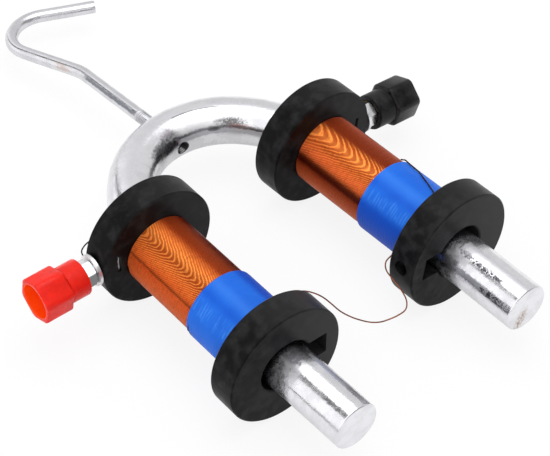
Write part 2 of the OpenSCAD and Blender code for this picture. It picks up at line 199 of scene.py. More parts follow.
link_route = (
    [round_bobbin("right", *row) for row in link_start]
    + [Vector((across(u), BOBBIN_MID - INNER_Y + back, z)) * MM for u, back, z in link_middle]
    + [round_bobbin("left", *row) for row in link_end]
)
print("link wire route:", len(link_route), "points")

# %% A smooth strand through a route
STRAND_STEPS = 5


def smooth(route, steps):
    """Points of a smooth curve that passes through every point of the route."""
    points = []
    for i in range(len(route) - 1):
        a, b, c, d = route[max(i - 1, 0)], route[i], route[i + 1], route[min(i + 2, len(route) - 1)]
        for step in range(steps):
            t = step / steps
            points.append(
                0.5 * (2 * b + (c - a) * t + (2 * a - 5 * b + 4 * c - d) * t**2
                       + (3 * b - a - 3 * c + d) * t**3)
            )
    return points + [route[-1]]


def strand(name, route):
    """A curve of one open spline with the wire's round section."""
    curve = bpy.data.curves.new(name, "CURVE")
    curve.dimensions = "3D"
    curve.bevel_depth = 1
    curve.bevel_resolution = 3
    curve.use_fill_caps = True
    points = smooth(route, STRAND_STEPS)
    spline = curve.splines.new("POLY")
    spline.points.add(len(points) - 1)
    for point, place in zip(spline.points, points):
        point.co, point.radius = (*place, 1), WIRE_D / 2 * MM
    spline.use_smooth = True
    piece = bpy.data.objects.new(name, curve)
    bpy.context.scene.collection.objects.link(piece)
    length = sum((b - a).length for a, b in zip(points, points[1:]))
    print(f"{name}: {length / MM:.1f} mm in {len(points)} points")
    return piece


link_strand = strand("link_strand", link_route)
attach(link_strand, "magnet")
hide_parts("link_wire")

# %% [markdown]
# ## The two start leads
#
# Each coil begins inside the nut pocket of its rear flange. Its wire comes out of the pocket, climbs
# the back of the flange and is pinched under the washer. The leads are 14 mm long and hidden from most
# sides, so the same strand serves them.

# %% Start leads
start_route = [
    (BORE_R + 1.5, HALF_LEN - 1.3, 2.2), (BORE_R + 2.3, HALF_LEN + 0.1, 2.8),
    (POCKET_REACH - 0.8, behind, 4.2), (FLANGE_R - 2.8, behind, 4.9), (FLANGE_R - 1, behind, 4.6),
    (FLANGE_R + 0.25, behind, 3.5), (FLANGE_R + 0.5, behind, 2.4),
    (FLANGE_R + 0.4, behind - 0.3, 1.5), (under_washer, HALF_LEN + 0.1, 1.1),
    (under_washer, POST_Y + 3.6, 0.9), (under_washer, POST_Y + 2.8, 0.9),
]
start_strands = {}
for side in ("left", "right"):
    route = [LEG[side] @ at(*row, side) for row in start_route]
    start_strands[side] = strand(f"{side}_start_strand", route)
    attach(start_strands[side], "magnet")
    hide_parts(f"{side}_start_lead")

# %% [markdown]
# ## One way to skin everything round
#
# Nearly every other piece is a row of rings: a thread, a hooked rod, a cap that goes from a round neck
# to a six-sided head. One helper skins such a row. The ends are either closed with a face, for solid
# pieces, or joined to each other, for pieces whose section is a closed loop carried round an axis.

# %% The skin helper
def angles(count):
    """Equal steps round one full turn, in radians."""
    return [2 * math.pi * k / count for k in range(count)]


def round_axis(radius, along, angle):
    """A point round the Y axis, millimetres in and metres out."""
    return at(radius * math.cos(angle), along, radius * math.sin(angle))


def skin(name, rings, place, joined=False, crease=35):
    """A closed mesh through rings of equally many points, in metres in the piece's own frame."""
    count = len(rings[0])
    points = [tuple(point) for ring in rings for point in ring]
    faces = []
    for row in range(len(rings) if joined else len(rings) - 1):
        here, there = row * count, (row + 1) % len(rings) * count
        for k in range(count):
            after = (k + 1) % count
            faces.append((here + k, here + after, there + after, there + k))
    if not joined:
        faces.append(tuple(reversed(range(count))))
        faces.append(tuple(len(points) - count + k for k in range(count)))
    mesh = bpy.data.meshes.new(name)
    mesh.from_pydata(points, [], faces)
    builder = bmesh.new()
    builder.from_mesh(mesh)
    bmesh.ops.recalc_face_normals(builder, faces=builder.faces)
    builder.to_mesh(mesh)
    builder.free()
    mesh.shade_smooth()
    mesh.set_sharp_from_angle(angle=math.radians(crease))
    piece = bpy.data.objects.new(name, mesh)
    bpy.context.scene.collection.objects.link(piece)
    piece.matrix_world = place
    print(f"{name}: {len(faces)} faces")
    return piece


def dress(piece, body, slot, *replaced):
    """Says what a piece rides on and which solids it stands for. Its slot is not used."""
    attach(piece, body)
    if replaced:
        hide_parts(*replaced)
    return piece


# %% [markdown]
# ## The copper windings
#
# What shows of a coil is its top layer: over a hundred turns of 0.4 mm wire, each a half-round ridge.
# A bump texture would give a smooth outline and go flat at the edge of the tape, so the turns are
# real: the wire is swept round the coil on a long helix. Under it a plain sleeve stands for the
# buried layers, so that no light shows between the turns. Eight sides are enough for a wire that is
# one and a half pixels wide.

# %% Turns of the windings
WIRE_SIDES, TURN_STEPS, SLEEVE_SIDES = 8, 44, 64
SPACING, WANDER, END_GAP = WIRE_D * 1.005, 0.02, 0.05
SLEEVE_IN_R, SLEEVE_R = 9.4, WINDING_R - WIRE_D * 0.62


def sleeve(side):
    """A plain tube in the place of the buried layers."""
    end = INNER_Y - END_GAP
    section = [(SLEEVE_IN_R, -end), (SLEEVE_R, -end), (SLEEVE_R, end), (SLEEVE_IN_R, end)]
    loops = [[round_axis(r, y, angle) for r, y in section] for angle in angles(SLEEVE_SIDES)]
    return skin(f"{side}_sleeve", loops, LEG[side], joined=True)


def turns(side):
    """The helix of wire and the sleeve below it, as one piece."""
    reach = INNER_Y - END_GAP - WIRE_D / 2
    count = int(2 * reach / SPACING)
    total = count * TURN_STEPS
    rings = []
    for i in range(total + 1):
        angle = 2 * math.pi * i / TURN_STEPS
        along = -reach + 2 * reach * i / total
        wander = WANDER * noise.noise(Vector((along * 0.9, math.cos(angle), math.sin(angle))))
        middle = WINDING_R - WIRE_D / 2 - WANDER + wander
        rings.append([
            round_axis(middle + WIRE_D / 2 * math.cos(turn), along + WIRE_D / 2 * math.sin(turn), angle)
            for turn in angles(WIRE_SIDES)
        ])
    coil, under = skin(f"{side}_turns", rings, LEG[side], crease=80), sleeve(side)
    joined = bmesh.new()
    joined.from_mesh(coil.data)
    joined.from_mesh(under.data)
    joined.to_mesh(coil.data)
    joined.free()
    bpy.data.objects.remove(under)
    print(f"{side}: {count} turns")
    return dress(coil, "magnet", f"{side}_copper", f"{side}_winding")


coils = {side: turns(side) for side in ("left", "right")}

# %% [markdown]
# ## The blue tape
#
# The tape is soft vinyl pulled tight over the turns, so the turns below show through as faint ribs.
# They aren't even: the tape bridges some turns and sinks between others. Its tail is lapped over
# itself, with a hard step at the cut end. The band is a strip's section carried round the coil, and
# its outer face is moved in and out by a few hundredths of a millimetre.

# %% Tape bands
TAIL_T, TAIL_FROM, TAIL_TO, TAIL_RAMP = 0.2, -34, 12, 12
TAPE_SIDES, TAPE_STEP = 128, 0.1
FINE_RIB, BROAD_RIB, BROAD_PITCH = 0.006, 0.022, 1.07
RIB_ROOM, EDGE_DROP, EDGE_WIDTH, EDGE_CUT = 0.03, 0.12, 0.2, 0.05


def rib(along, angle):
    """How far the tape stands out over the turns below it, in millimetres."""
    drift = noise.noise(Vector((along * 0.55, angle * 0.9, 3.0)))
    strength = 0.5 + 0.5 * noise.noise(Vector((along * 0.25, angle * 1.7, 9.0)))
    fine = math.sin(2 * math.pi * along / WIRE_D)
    broad = math.sin(2 * math.pi * along / BROAD_PITCH + 3 * drift)
    return FINE_RIB * fine + BROAD_RIB * strength * broad


def lap(angle):
    """The second layer under the tail: its thickness where there is one, and a ramp where it begins."""
    degrees = (math.degrees(angle) + 180) % 360 - 180
    if not TAIL_FROM <= degrees <= TAIL_TO:
        return 0
    return TAIL_T * min(1, (degrees - TAIL_FROM) / TAIL_RAMP)


def band(side):
    """A tape band in its bobbin's frame."""
    width = TAPE_W[side]
    samples = int(width / TAPE_STEP)
    rings = []
    for angle in angles(TAPE_SIDES):
        base = TAPE_R - RIB_ROOM + lap(angle)
        ring = []
        for k in range(samples + 1):
            share = k / samples
            edge = min(share, 1 - share) * width
            rounding = EDGE_DROP * max(0, 1 - edge / EDGE_WIDTH) ** 2
            ring.append((base + rib(share * width, angle) - rounding, TAPE_START + share * width))
        ring += [(TAPE_IN_R, TAPE_START + width - EDGE_CUT), (TAPE_IN_R, TAPE_START + EDGE_CUT)]
        rings.append([round_axis(r, y, angle) for r, y in ring])
    skinned = skin(f"{side}_band", rings, LEG[side], joined=True)
    return dress(skinned, "magnet", "blue_tape", f"{side}_tape")


bands = {side: band(side) for side in ("left", "right")}

# %% [markdown]
# ## Threads
#
# A screw thread is a cylinder whose radius rises and falls once per pitch while the phase turns once
# round. Sampling that on a plain grid of rings gives a closed mesh with no seams to sew. The same rule
# serves the hook's shank, the terminal studs and, turned inside out, the tapped hole in the crown.

# %% Thread rule and the studs
PITCH, THREAD_DEPTH = 0.7, 0.4
THREAD_STEP = PITCH / 9  # nine rings for each turn of a thread
STUD_FROM, STUD_TO, STUD_R, STUD_SIDES, STUD_CHAMFER = 10.75, 28.95, 2.0, 28, 0.45


def thread(along, angle):
    """0 at a thread's crest and 1 at its root, with a narrow flat on both."""
    phase = (along / PITCH - angle / (2 * math.pi)) % 1
    return min(1, max(0, 1.35 * abs(2 * phase - 1) - 0.12))


def stud(side):
    """A terminal stud, threaded all along and chamfered at both ends."""
    length = STUD_TO - STUD_FROM
    rings = []
    for i in range(round(length / THREAD_STEP) + 1):
        along = i * THREAD_STEP
        bevel = max(0, STUD_CHAMFER - min(along, length - along))
        ring = []
        for angle in angles(STUD_SIDES):
            r = min(STUD_R - THREAD_DEPTH * thread(along, angle), STUD_R - bevel)
            ring.append(at(STUD_FROM + along, POST_Y + r * math.sin(angle), r * math.cos(angle)))
        rings.append(ring)
    skinned = skin(f"{side}_threaded_stud", rings, LEG[side], crease=80)
    return dress(skinned, "magnet", "nickel", f"{side}_stud")


studs = {side: stud(side) for side in ("left", "right")}

# %% [markdown]
# ## The hook
#
# The hook is one length of 4 mm rod, threaded at one end, kinked, and bent round at the other. Its
# centreline is a straight, a gentle arc, a straight, a round bend and a straight tip, all in one
# plane. A turtle that walks and turns writes such a line most plainly. Rings are hung on it, and the
# thread's rule shapes the first of them.

# %% Centreline of the hook
HOOK_RECESS, HOOK_SHANK, HOOK_KINK, HOOK_KINK_R = 3.0, 34.5, 18.5, 15
HOOK_RUN, HOOK_BEND, HOOK_BEND_R, HOOK_TIP = 19.5, 137, 10.5, 17
HOOK_STEP = 0.6


def walk(moves, step):
    """Stations (place, heading) of a turtle in a plane. Each move is (length, turn in degrees)."""
    place, heading, stations = Vector((0, 0)), math.pi / 2, []
    for length, turn in moves:
        count = max(1, math.ceil(length / step))
        for _ in range(count):
            stations.append((place.copy(), heading))
            heading += math.radians(turn) / count / 2
            place += length / count * Vector((math.cos(heading), math.sin(heading)))
            heading += math.radians(turn) / count / 2
    return stations + [(place, heading)]


moves = [
    (2 * BAR_R - HOOK_RECESS + HOOK_SHANK, 0),
    (HOOK_KINK_R * math.radians(HOOK_KINK), HOOK_KINK),
    (HOOK_RUN, 0),
    (HOOK_BEND_R * math.radians(HOOK_BEND), -HOOK_BEND),
    (HOOK_TIP, 0),
]
threaded, bent = walk(moves[:1], THREAD_STEP), walk(moves[1:], HOOK_STEP)
stations = threaded[:-1] + [(place + Vector((0, moves[0][0])), heading) for place, heading in bent]
hook_length = sum(length for length, _ in moves)
print(f"hook rod: {hook_length:.1f} mm long, {len(stations)} stations")

# %% Hook rod
HOOK_R, HOOK_SIDES, HOOK_THREAD, HOOK_THREAD_DEPTH = 2.0, 32, 17.9, 0.35
START_BEVEL, TIP_BEVEL = 0.4, 0.15

rings, walked = [], 0
for i, (place, heading) in enumerate(stations):
    if i:
        walked += (place - stations[i - 1][0]).length
    bevel = max(0, START_BEVEL - walked, TIP_BEVEL - max(hook_length - walked, 0))
    fade = min(1, max(0, (HOOK_THREAD - walked) / PITCH))
    ring = []
    for angle in angles(HOOK_SIDES):
        radius = HOOK_R - max(bevel, HOOK_THREAD_DEPTH * fade * thread(walked, angle))
        out = radius * math.cos(angle)
        ring.append(at(
            place.x + out * math.sin(heading),
            HOOK_RECESS + place.y - out * math.cos(heading),
            radius * math.sin(angle),
        ))
    rings.append(ring)
hook_rod = dress(skin("hook_rod", rings, CROWN, crease=60), "magnet", "hook_wire", "hook")

# %% [markdown]
# ## The tapped hole in the crown
#
# Three millimetres of the hole's thread are left empty inside the horseshoe, and they glint. The
# drawing leaves the hole smooth, so a thin threaded liner goes into it.

# %% Crown thread
LINER_FROM, LINER_TO, LINER_SIDES, LINER_DEPTH, LEAD_IN = 0.5, 2.85, 36, 0.3, 4
HOLE_R, CREST_R = 2.04, 2.02

rows = []
steps = round((LINER_TO - LINER_FROM) / THREAD_STEP)
for angle in angles(LINER_SIDES):
    row = []
    for i in range(steps + 1):
        along = LINER_FROM + (LINER_TO - LINER_FROM) * i / steps
        lead = min(1, min(i, steps - i) / LEAD_IN)
        row.append((CREST_R - LINER_DEPTH * lead * (1 - thread(along, angle)), along))
    row += [(HOLE_R, LINER_TO), (HOLE_R, LINER_FROM)]
    rows.append([round_axis(r, y, angle) for r, y in row])
crown_thread = skin("crown_thread", rows, CROWN, joined=True, crease=80)
dress(crown_thread, "magnet", "plated_bar")

# %% [markdown]
# ## The screw caps
#
# Each cap is one moulding: a round neck over a brass insert, a six-sided head with blunted corners,
# and a hollow mouth for a plug. Moulded plastic has no sharp edge anywhere, and on a shiny cap it is
# the rounded edges that catch the light. So the cap is rings again, from the bottom of the insert's
# hole, over the outside and down into the mouth, with each corner turned in three short steps.

# %% Outline of a cap
CAP_X, CAP_LEN, CAP_SIDES = 22.95, 15.0, 120
HEAD_LEN, HEAD_FLAT, HEAD_CORNER, CORNER_SOFT = 9.0, 6.1, 6.7, 14
NECK_R, MOUTH_R, MOUTH_DEPTH, HOLE_DEPTH, INSERT_HOLE_R = 5.4, 5.1, 6.0, 7.3, 3.75
NECK_END, MOUTH_FLOOR = CAP_LEN - HEAD_LEN, CAP_LEN - MOUTH_DEPTH
CAP_TURN = {"left": 10, "right": 12}

# Where the cap is round a row is (distance along the post, radius, 0). On the six-sided head it is
# (distance, what its outline gains there, 1).
CAP_OUTLINE = [
    # the hole for the insert, and the face round it
    (HOLE_DEPTH, INSERT_HOLE_R - 0.3, 0), (HOLE_DEPTH, INSERT_HOLE_R, 0), (0.25, INSERT_HOLE_R, 0),
    (0, INSERT_HOLE_R + 0.2, 0),
    # the neck
    (0, NECK_R - 0.35, 0), (0.1, NECK_R - 0.1, 0), (0.35, NECK_R, 0),
    (NECK_END - 0.3, NECK_R, 0), (NECK_END - 0.06, NECK_R + 0.06, 0),
    # the head
    (NECK_END, -1.0, 1), (NECK_END + 0.1, -0.72, 1), (NECK_END + 0.5, -0.16, 1), (NECK_END + 0.8, 0, 1),
    (CAP_LEN - 0.35, 0, 1), (CAP_LEN - 0.1, -0.1, 1), (CAP_LEN, -0.32, 1),
    # the mouth and its floor
    (CAP_LEN, MOUTH_R + 0.2, 0), (CAP_LEN - 0.08, MOUTH_R + 0.05, 0), (CAP_LEN - 0.3, MOUTH_R, 0),
    (MOUTH_FLOOR + 0.5, MOUTH_R, 0), (MOUTH_FLOOR + 0.12, MOUTH_R - 0.14, 0),
    (MOUTH_FLOOR, MOUTH_R - 0.5, 0), (MOUTH_FLOOR, 1.6, 0), (MOUTH_FLOOR + 0.25, 1.2, 0),
    (MOUTH_FLOOR + 0.3, 0.6, 0),
]
print("cap outline:", len(CAP_OUTLINE), "rings")

# %% Screw caps
def hexagon(angle):
    """Distance from the axis to the blunted hexagon at an angle from one of its corners."""
    flat = HEAD_FLAT / math.cos((angle % (math.pi / 3)) - math.pi / 6)
    return -math.log(math.exp(-CORNER_SOFT * flat) + math.exp(-CORNER_SOFT * HEAD_CORNER)) / CORNER_SOFT


def cap(side, name, body, slot, node):
    """A screw cap, skinned over the rings of its outline."""
    rings = []
    for along, radius, six in CAP_OUTLINE:
        ring = []
        for angle in angles(CAP_SIDES):
            r = hexagon(angle - math.radians(CAP_TURN[side])) + radius if six else radius
            ring.append(at(CAP_X + along, POST_Y + r * math.sin(angle), -r * math.cos(angle), side))
        rings.append(ring)
    return dress(skin(name, rings, LEG[side], crease=50), body, slot, node)


caps = {
    "left": cap("left", "red_screw_cap", "red_terminal", "red_plastic", "red_cap"),
    "right": cap("right", "black_screw_cap", "black_terminal", "black_plastic", "black_cap"),
}

# %% [markdown]
# ## Writing finishes as sums
#
# A finish is a graph of nodes, and graphs are hard to read as code. Most of one is arithmetic, so a
# small class wraps a node's output and turns the usual signs into Math nodes: `1 - mask` makes the
# node that it says. Colours go through Mix nodes, because a Math node would turn them grey. Every
# other node comes from one method, which takes its type, its settings and what its sockets get.

# %% Shader sums
class Value:
    """One output of a node. Sums written with it become Math nodes in the same graph."""

    def __init__(self, graph, socket):
        self.graph, self.socket = graph, socket

    def __add__(self, other):
        return self.graph.maths("ADD", self, other)

    def __sub__(self, other):
        return self.graph.maths("SUBTRACT", self, other)

    def __rsub__(self, other):
        return self.graph.maths("SUBTRACT", other, self)

    def __mul__(self, other):
        return self.graph.maths("MULTIPLY", self, other)

    def __truediv__(self, other):
        return self.graph.maths("DIVIDE", self, other)

    __radd__, __rmul__ = __add__, __mul__


class Graph:
    """A node graph that is being written."""

    def __init__(self, tree):
        self.tree = tree
        tree.nodes.clear()

    def node(self, kind, settings=None, inputs=None, output=0):
        """A node of any type: its settings first, then a value or a link for each socket."""
        made = self.tree.nodes.new(kind)
        for setting, value in (settings or {}).items():
            if setting == "stops":
                for spare in list(made.color_ramp.elements)[2:]:
                    made.color_ramp.elements.remove(spare)
                for i, (place, colour) in enumerate(value):
                    element = made.color_ramp.elements[i] if i < 2 else made.color_ramp.elements.new(place)
                    element.position, element.color = place, (*colour, 1)
            else:
                setattr(made, setting, value)
        for socket, value in (inputs or {}).items():
            if isinstance(value, Value):
                self.tree.links.new(value.socket, made.inputs[socket])
            else:
                made.inputs[socket].default_value = value
        return Value(self, made.outputs[output]) if made.outputs else None

    def maths(self, operation, *values):
        """A Math node."""
        return self.node("ShaderNodeMath", {"operation": operation}, dict(enumerate(values)))

    def mix(self, share, a, b):
        """Colour a where share is 0 and colour b where it is 1."""
        a, b = [(*c, 1) if isinstance(c, tuple) else c for c in (a, b)]
        return self.node("ShaderNodeMix", {"data_type": "RGBA", "clamp_factor": True},
                         {0: share, 6: a, 7: b}, 2)

    def rise(self, value, low, high, start=0.0, end=1.0):
        """A smooth step from start to end as the value goes from low to high."""
        return self.node("ShaderNodeMapRange", {"interpolation_type": "SMOOTHSTEP"},
                         {0: value, 1: low, 2: high, 3: start, 4: end})

    def band(self, value, low, high, soft):
        """1 between two values and 0 outside them, with edges so soft."""
        up = self.rise(value, low - soft, low + soft)
        return up * self.rise(value, high - soft, high + soft, 1.0, 0.0)

    def angle(self, a, b, turn=0.0):
        """Angle from b to a in degrees, counted on from turn for one full round."""
        raw = self.maths("ARCTAN2", a, b) * (180 / math.pi)
        return self.maths("MODULO", raw + (720.0 - turn), 360.0) + turn

    def blend(self, value, low, high, stops):
        """Colours at places between low and high, blended from one to the next."""
        share = (value - low) / (high - low)
        places = [((place - low) / (high - low), colour) for place, colour in stops]
        return self.node("ShaderNodeValToRGB", {"stops": places}, {0: share})

    def stretch(self, place, *factors):
        """Coordinates squeezed by three factors, so that what is drawn on them gets longer."""
        return self.node("ShaderNodeVectorMath", {"operation": "MULTIPLY"}, {0: place, 1: factors})

    def grain(self, place, size, detail=2.0, rough=0.5, bend=0.0):
        """Noise around 0.5 whose features are about so many millimetres wide."""
        return self.node("ShaderNodeTexNoise", None, {
            "Vector": place, "Scale": 1 / (size * MM), "Detail": detail, "Roughness": rough,
            "Distortion": bend})

    def parts(self, place):
        """The x, y and z of a vector, in millimetres if the vector is in metres."""
        wide = self.node("ShaderNodeVectorMath", {"operation": "SCALE"}, {0: place, "Scale": 1 / MM})
        return [self.node("ShaderNodeSeparateXYZ", None, {0: wide}, i) for i in range(3)]

    def bump(self, height, depth, strength=1.0, below=None):
        """Dents and rises up to so many millimetres deep."""
        inputs = {"Height": height, "Distance": depth * MM, "Strength": strength}
        if below:
            inputs["Normal"] = below
        return self.node("ShaderNodeBump", None, inputs)


class Finish(Graph):
    """A material whose gloss and colour come from one Principled shader."""

    def __init__(self, name):
        self.material = bpy.data.materials.new(name)
        self.material.use_nodes = True
        super().__init__(self.material.node_tree)
        self.place = self.node("ShaderNodeTexCoord", None, None, 3)

    def surface(self, **inputs):
        """Ends the graph: names are the shader's sockets with _ for spaces."""
        shader = self.node("ShaderNodeBsdfPrincipled", None, {
            socket.replace("_", " "): value for socket, value in inputs.items()})
        self.node("ShaderNodeOutputMaterial", None, {0: shader})
        print("finish:", self.material.name, len(self.tree.nodes), "nodes")
        return self


def paint(finish, *pieces):
    """Gives pieces one finish in place of what they had."""
    for piece in pieces:
        piece.data.materials.clear()
        piece.data.materials.append(finish.material)


# %% [markdown]
# ## Zinc plate
#
# The bar was bent and then barrel plated, so the zinc is bright but not even: soft cloudy patches
# where it is thicker, shallow dimples and fine pits. Three noises of different sizes give them. The
# clouds and the pits move the colour and the roughness together, because frosted zinc is both darker
# and duller. What only one piece has, its stains, its wear and its painted shade, highlights and
# reflections, comes as a list of marks. Each is a share over the surface, the colour painted there,
# and how much duller it makes the plate.

# %% Zinc
DARK, BROWN = (0.075, 0.072, 0.080), (0.33, 0.20, 0.10)
MARK_DULLS = 0.10


def zinc(name, tone=(0.80, 0.80, 0.83), gloss=0.14, dimple=0.045, marks=None):
    """Plated steel. Marks takes the finish and lists (share, colour, added roughness) of its stains and
    painted light.
    """
    finish = Finish(name)
    clouds = finish.grain(finish.place, 5.0, 4.0, 0.6)
    dimples = finish.grain(finish.place, 1.2, 3.0, 0.55)
    pits = finish.grain(finish.place, 0.22, 2.0, 0.6)
    frosted = finish.rise(clouds, 0.40, 0.62)
    specks = finish.rise(pits, 0.52, 0.75)
    colour = finish.mix(frosted * 0.45 + specks * 0.25, tone, tuple(0.80 * c for c in tone))
    roughness = gloss + frosted * 0.10 + specks * 0.10
    # The marks paint stains and also painted shade, highlights and reflections over the plate.
    for share, stain, *dulled in marks(finish) if marks else []:
        colour = finish.mix(share, colour, stain)
        roughness = roughness + share * (dulled[0] if dulled else MARK_DULLS)
    normal = finish.bump(pits, 0.006, 0.7, finish.bump(dimples, dimple))
    return finish.surface(Base_Color=colour, Metallic=1.0, Roughness=roughness, Normal=normal)


def spot(finish, across, along, middle, size, torn):
    """1 in the middle of an oval mark, fading to 0 at its torn rim."""
    u, v = (across - middle[0]) / size[0], (along - middle[1]) / size[1]
    return finish.rise(u * u + v * v + torn, 0.0, 1.25, 1.0, 0.0)


# %% [markdown]
# ## Marks on the bend
#
# Most marks on the bend are painted light and shade: a dark line along the inside of the horseshoe
# stands in for a reflection of the dark horizon, grey covers the inside of the bend where the blue tape
# would show in reflection, grey patches dim the lamp's highlight and the outer side, and a near-white
# patch widens the highlight. There are also a scratch and a few dark and pinkish spots near the hook.
# Places on a bent bar are easiest to give as angles.
# `around` counts degrees along the bend from the right leg to the left one. `tilt` counts degrees round
# the bar, from outside the bend over its top to the inside. A mark with a clean rim looks like a
# sticker, so a fine noise, `torn`, shifts the angles before each rim is drawn.

# %% Marks on the bend
def bend_marks(finish):
    """Painted reflections, shade and highlight, a scratch and dark spots, each as a share, a colour and a
    dulling.
    """
    x, y, z = finish.parts(finish.place)
    out = y - CROWN_Y
    reach = finish.maths("SQRT", x * x + out * out)
    tilt, around = finish.angle(z, reach - CROWN_R), finish.angle(out, x, -90)
    torn = finish.grain(finish.place, 0.8, 4.0, 0.7) - 0.5
    specks = finish.grain(finish.place, 0.35, 3.0, 0.7) - 0.5
    bent = finish.rise(out, -2, 3)

    inside = finish.rise(tilt + torn * 12, 160, 170) * finish.rise(out, 0, 6)
    pale = finish.band(tilt + torn * 8, finish.rise(around, 50, 60, 157, 153), 167, 2)
    pale = pale * finish.rise(around, 96, 90) * bent
    # The dark line drawn from `crease` is a painted reflection of the horizon, and `crease` is the tilt
    # away from it.
    crease = tilt - finish.rise(around, 100, 84, 142, 152) + torn * 7
    line = finish.band(crease, -3.2, 3.2, 2) * finish.rise(around, 100, 94)
    line = line * finish.rise(around, 18, 24) * bent
    flare = finish.band(tilt + torn * 12, 122, 147, 4) * finish.band(around + torn * 10, 60, 91, 4) * bent
    scratch = finish.band(tilt + (around - 60) * 0.13 + torn * 3, 99.6, 102.4, 1.0)
    scratch = scratch * finish.band(around, 56, 88, 2)

    def oval_patch(middle, size, rim, share, stain):
        return spot(finish, around, tilt, middle, size, rim) * share, stain

    return [
        # The inside of the bend is painted grey and made a little duller.
        (inside * 0.45, (0.52, 0.52, 0.53), 0.15),
        # Painted grey with a rougher plate, where the blue tape's reflection would show.
        (pale * 0.7, (0.50, 0.50, 0.52), 0.5),
        # Two grey patches painted to dim the outer side and the lamp's highlight.
        oval_patch((125, 58), (45, 36), torn, 0.35, (0.60, 0.60, 0.63)),
        oval_patch((88, 112), (26, 17), torn * 3, 0.35, (0.58, 0.58, 0.60)),
        oval_patch((99, 127), (8, 13), torn * 4, 0.55, (0.17, 0.12, 0.16)),
        oval_patch((112, 136), (13, 11), torn * 4, 0.75, DARK),
        # A painted highlight: near-white with a rougher plate, so that the lamp's highlight looks wider.
        (flare * 0.9, (0.95, 0.95, 0.97), 0.4),
        oval_patch((47, 143), (11, 14), torn * 1.5 + specks * 4, 0.9, (0.10, 0.09, 0.09)),
        oval_patch((40, 150), (10, 6), torn * 3, 0.55, (0.46, 0.20, 0.17)),
        oval_patch((61, 156), (6, 6), torn * 2, 0.85, (0.10, 0.11, 0.12)),
        # The painted dark reflection line.
        (line * 0.7, DARK),
        (scratch * 0.8, DARK),
    ]


# %% [markdown]
# ## Marks on the legs
#
# Most bands on the legs are painted light and shade. A dark streak on the right leg, broken into
# specks, is a painted reflection of the dark doorway. Grey is painted over the blue tape's reflections
# and over part of the lamp's highlight, the plate is painted greyer where it reflects the flanges, and
# dark mottled shade is painted where the legs enter the flanges. A thin dark line runs along the right
# leg, and the right pole's face has a brown stain. Here `leg` counts degrees round the bar, from its
# right side over the top to its left. What lies under the lamp's highlight gets nearly its full share,
# because the highlight is brighter than white and drowns a weaker mark.

# %% Marks on the legs
def leg_marks(finish):
    """Painted reflections, highlight and shade, a thin dark line and a stain, each as a share, a colour and
    a dulling.
    """
    x, y, z = finish.parts(finish.place)
    on_left, on_right = finish.rise(x, 1, -1), finish.rise(x, -1, 1)
    leg = finish.angle(z, x - finish.rise(x, -1, 1, -LEG_X, LEG_X))
    torn = finish.grain(finish.place, 0.8, 4.0, 0.7) - 0.5
    mottle = finish.grain(finish.place, 1.6, 5.0, 0.7)

    seam = finish.band(leg + torn * 12, 155, 160, 1.5) * finish.band(y + torn * 6, 7, 24, 1.5) * on_right
    streak_breakup = finish.grain(finish.stretch(finish.place, 1.0, 0.7, 1.0), 0.55, 3.0, 0.7)
    streak = finish.band(leg + torn * 22, 106, 119, 2) * finish.band(y + torn * 4, 7, 23, 1)
    streak = streak * on_right * finish.rise(streak_breakup, 0.38, 0.50)
    fouled = finish.rise(finish.grain(finish.place, 0.7, 5.0, 0.6), 0.38, 0.60)
    on_face = finish.rise(y, 0.2, 0.8, 1.0, 0.0)
    stain = spot(finish, x - z * 0.35, z, (29.5, -2.9), (2.2, 3.9), torn * 3) * fouled * on_face
    shade = finish.band(leg + torn * 12, 49, 64, 2) * finish.band(y, 0.7, 22.5, 0.5) * on_left
    painted_grey = finish.band(leg + torn * 26, 146, 160, 1.5) * finish.band(y, 1, 22, 1) * on_right
    painted_grey = painted_grey * finish.rise(torn + finish.rise(y, 10, 15) * 0.3, -0.03, 0.03)
    veil = finish.band(leg, 84, 108, 5) * finish.band(y, 0.7, 23, 0.5) * on_right
    dull = (0.35 + finish.rise(mottle, 0.36, 0.64) * 0.65) * finish.band(y, 18.5, 27, 1.5)
    dull = dull * finish.rise(leg, 70, 95, 0.3, 1.0)
    flange_shade = finish.band(leg, 44, 112, 7) * on_left + finish.band(leg + torn * 20, 138, 166, 4) * on_right
    flange_shade = flange_shade * finish.band(y + torn * 5, 20.8, 28, 0.8) * (0.5 + finish.rise(mottle, 0.45, 0.55) * 0.5)
    return [
        (seam * 0.7, DARK),
        # A painted dark reflection, broken into specks.
        (streak * 0.95, (0.030, 0.030, 0.036)),
        (stain * 0.8, BROWN, 0.3),
        # Painted grey over the blue tape's reflection on the left leg, with a duller plate.
        (shade * 0.6, (0.60, 0.60, 0.64), 0.35),
        # Painted grey over the blue tape's reflection on the right leg; the rougher plate blurs its dark
        # band.
        (painted_grey * 0.85, (0.40, 0.40, 0.41), 0.30),
        # Painted grey that dims the lamp's highlight, with a rougher plate.
        (veil * 0.8, (0.60, 0.60, 0.63), 0.25),
        # Painted grey where the plate reflects the flange, with a duller plate.
        (dull * 0.45, (0.60, 0.60, 0.64), 0.4),
        # Painted dark shade where the legs enter the flanges.
        (flange_shade * 0.85, (0.14, 0.14, 0.16)),
    ]


def core_marks(finish):
    """All marks on the bar. A later one lies over an earlier one."""
    return bend_marks(finish) + leg_marks(finish)


paint(zinc("zinc_plate", marks=core_marks), nodes["core"])

# %% [markdown]
# ## Marks on the threads and the nuts
#
# The roots of a thread are painted dark, as shade and dirt, while its crests keep the plate. The threads
# are real in the mesh, so the phase that shaped them also says where a root is, and a cosine of it draws
# the dark. The hook has a grey ring after its thread that dims a glint, a dark stripe along the shank and
# a brown stain past the kink, and its cut end is painted dark as shade at the bottom of its hole. The
# crown's hole is painted black as shade, with painted glints on the lowest crests of its thread.

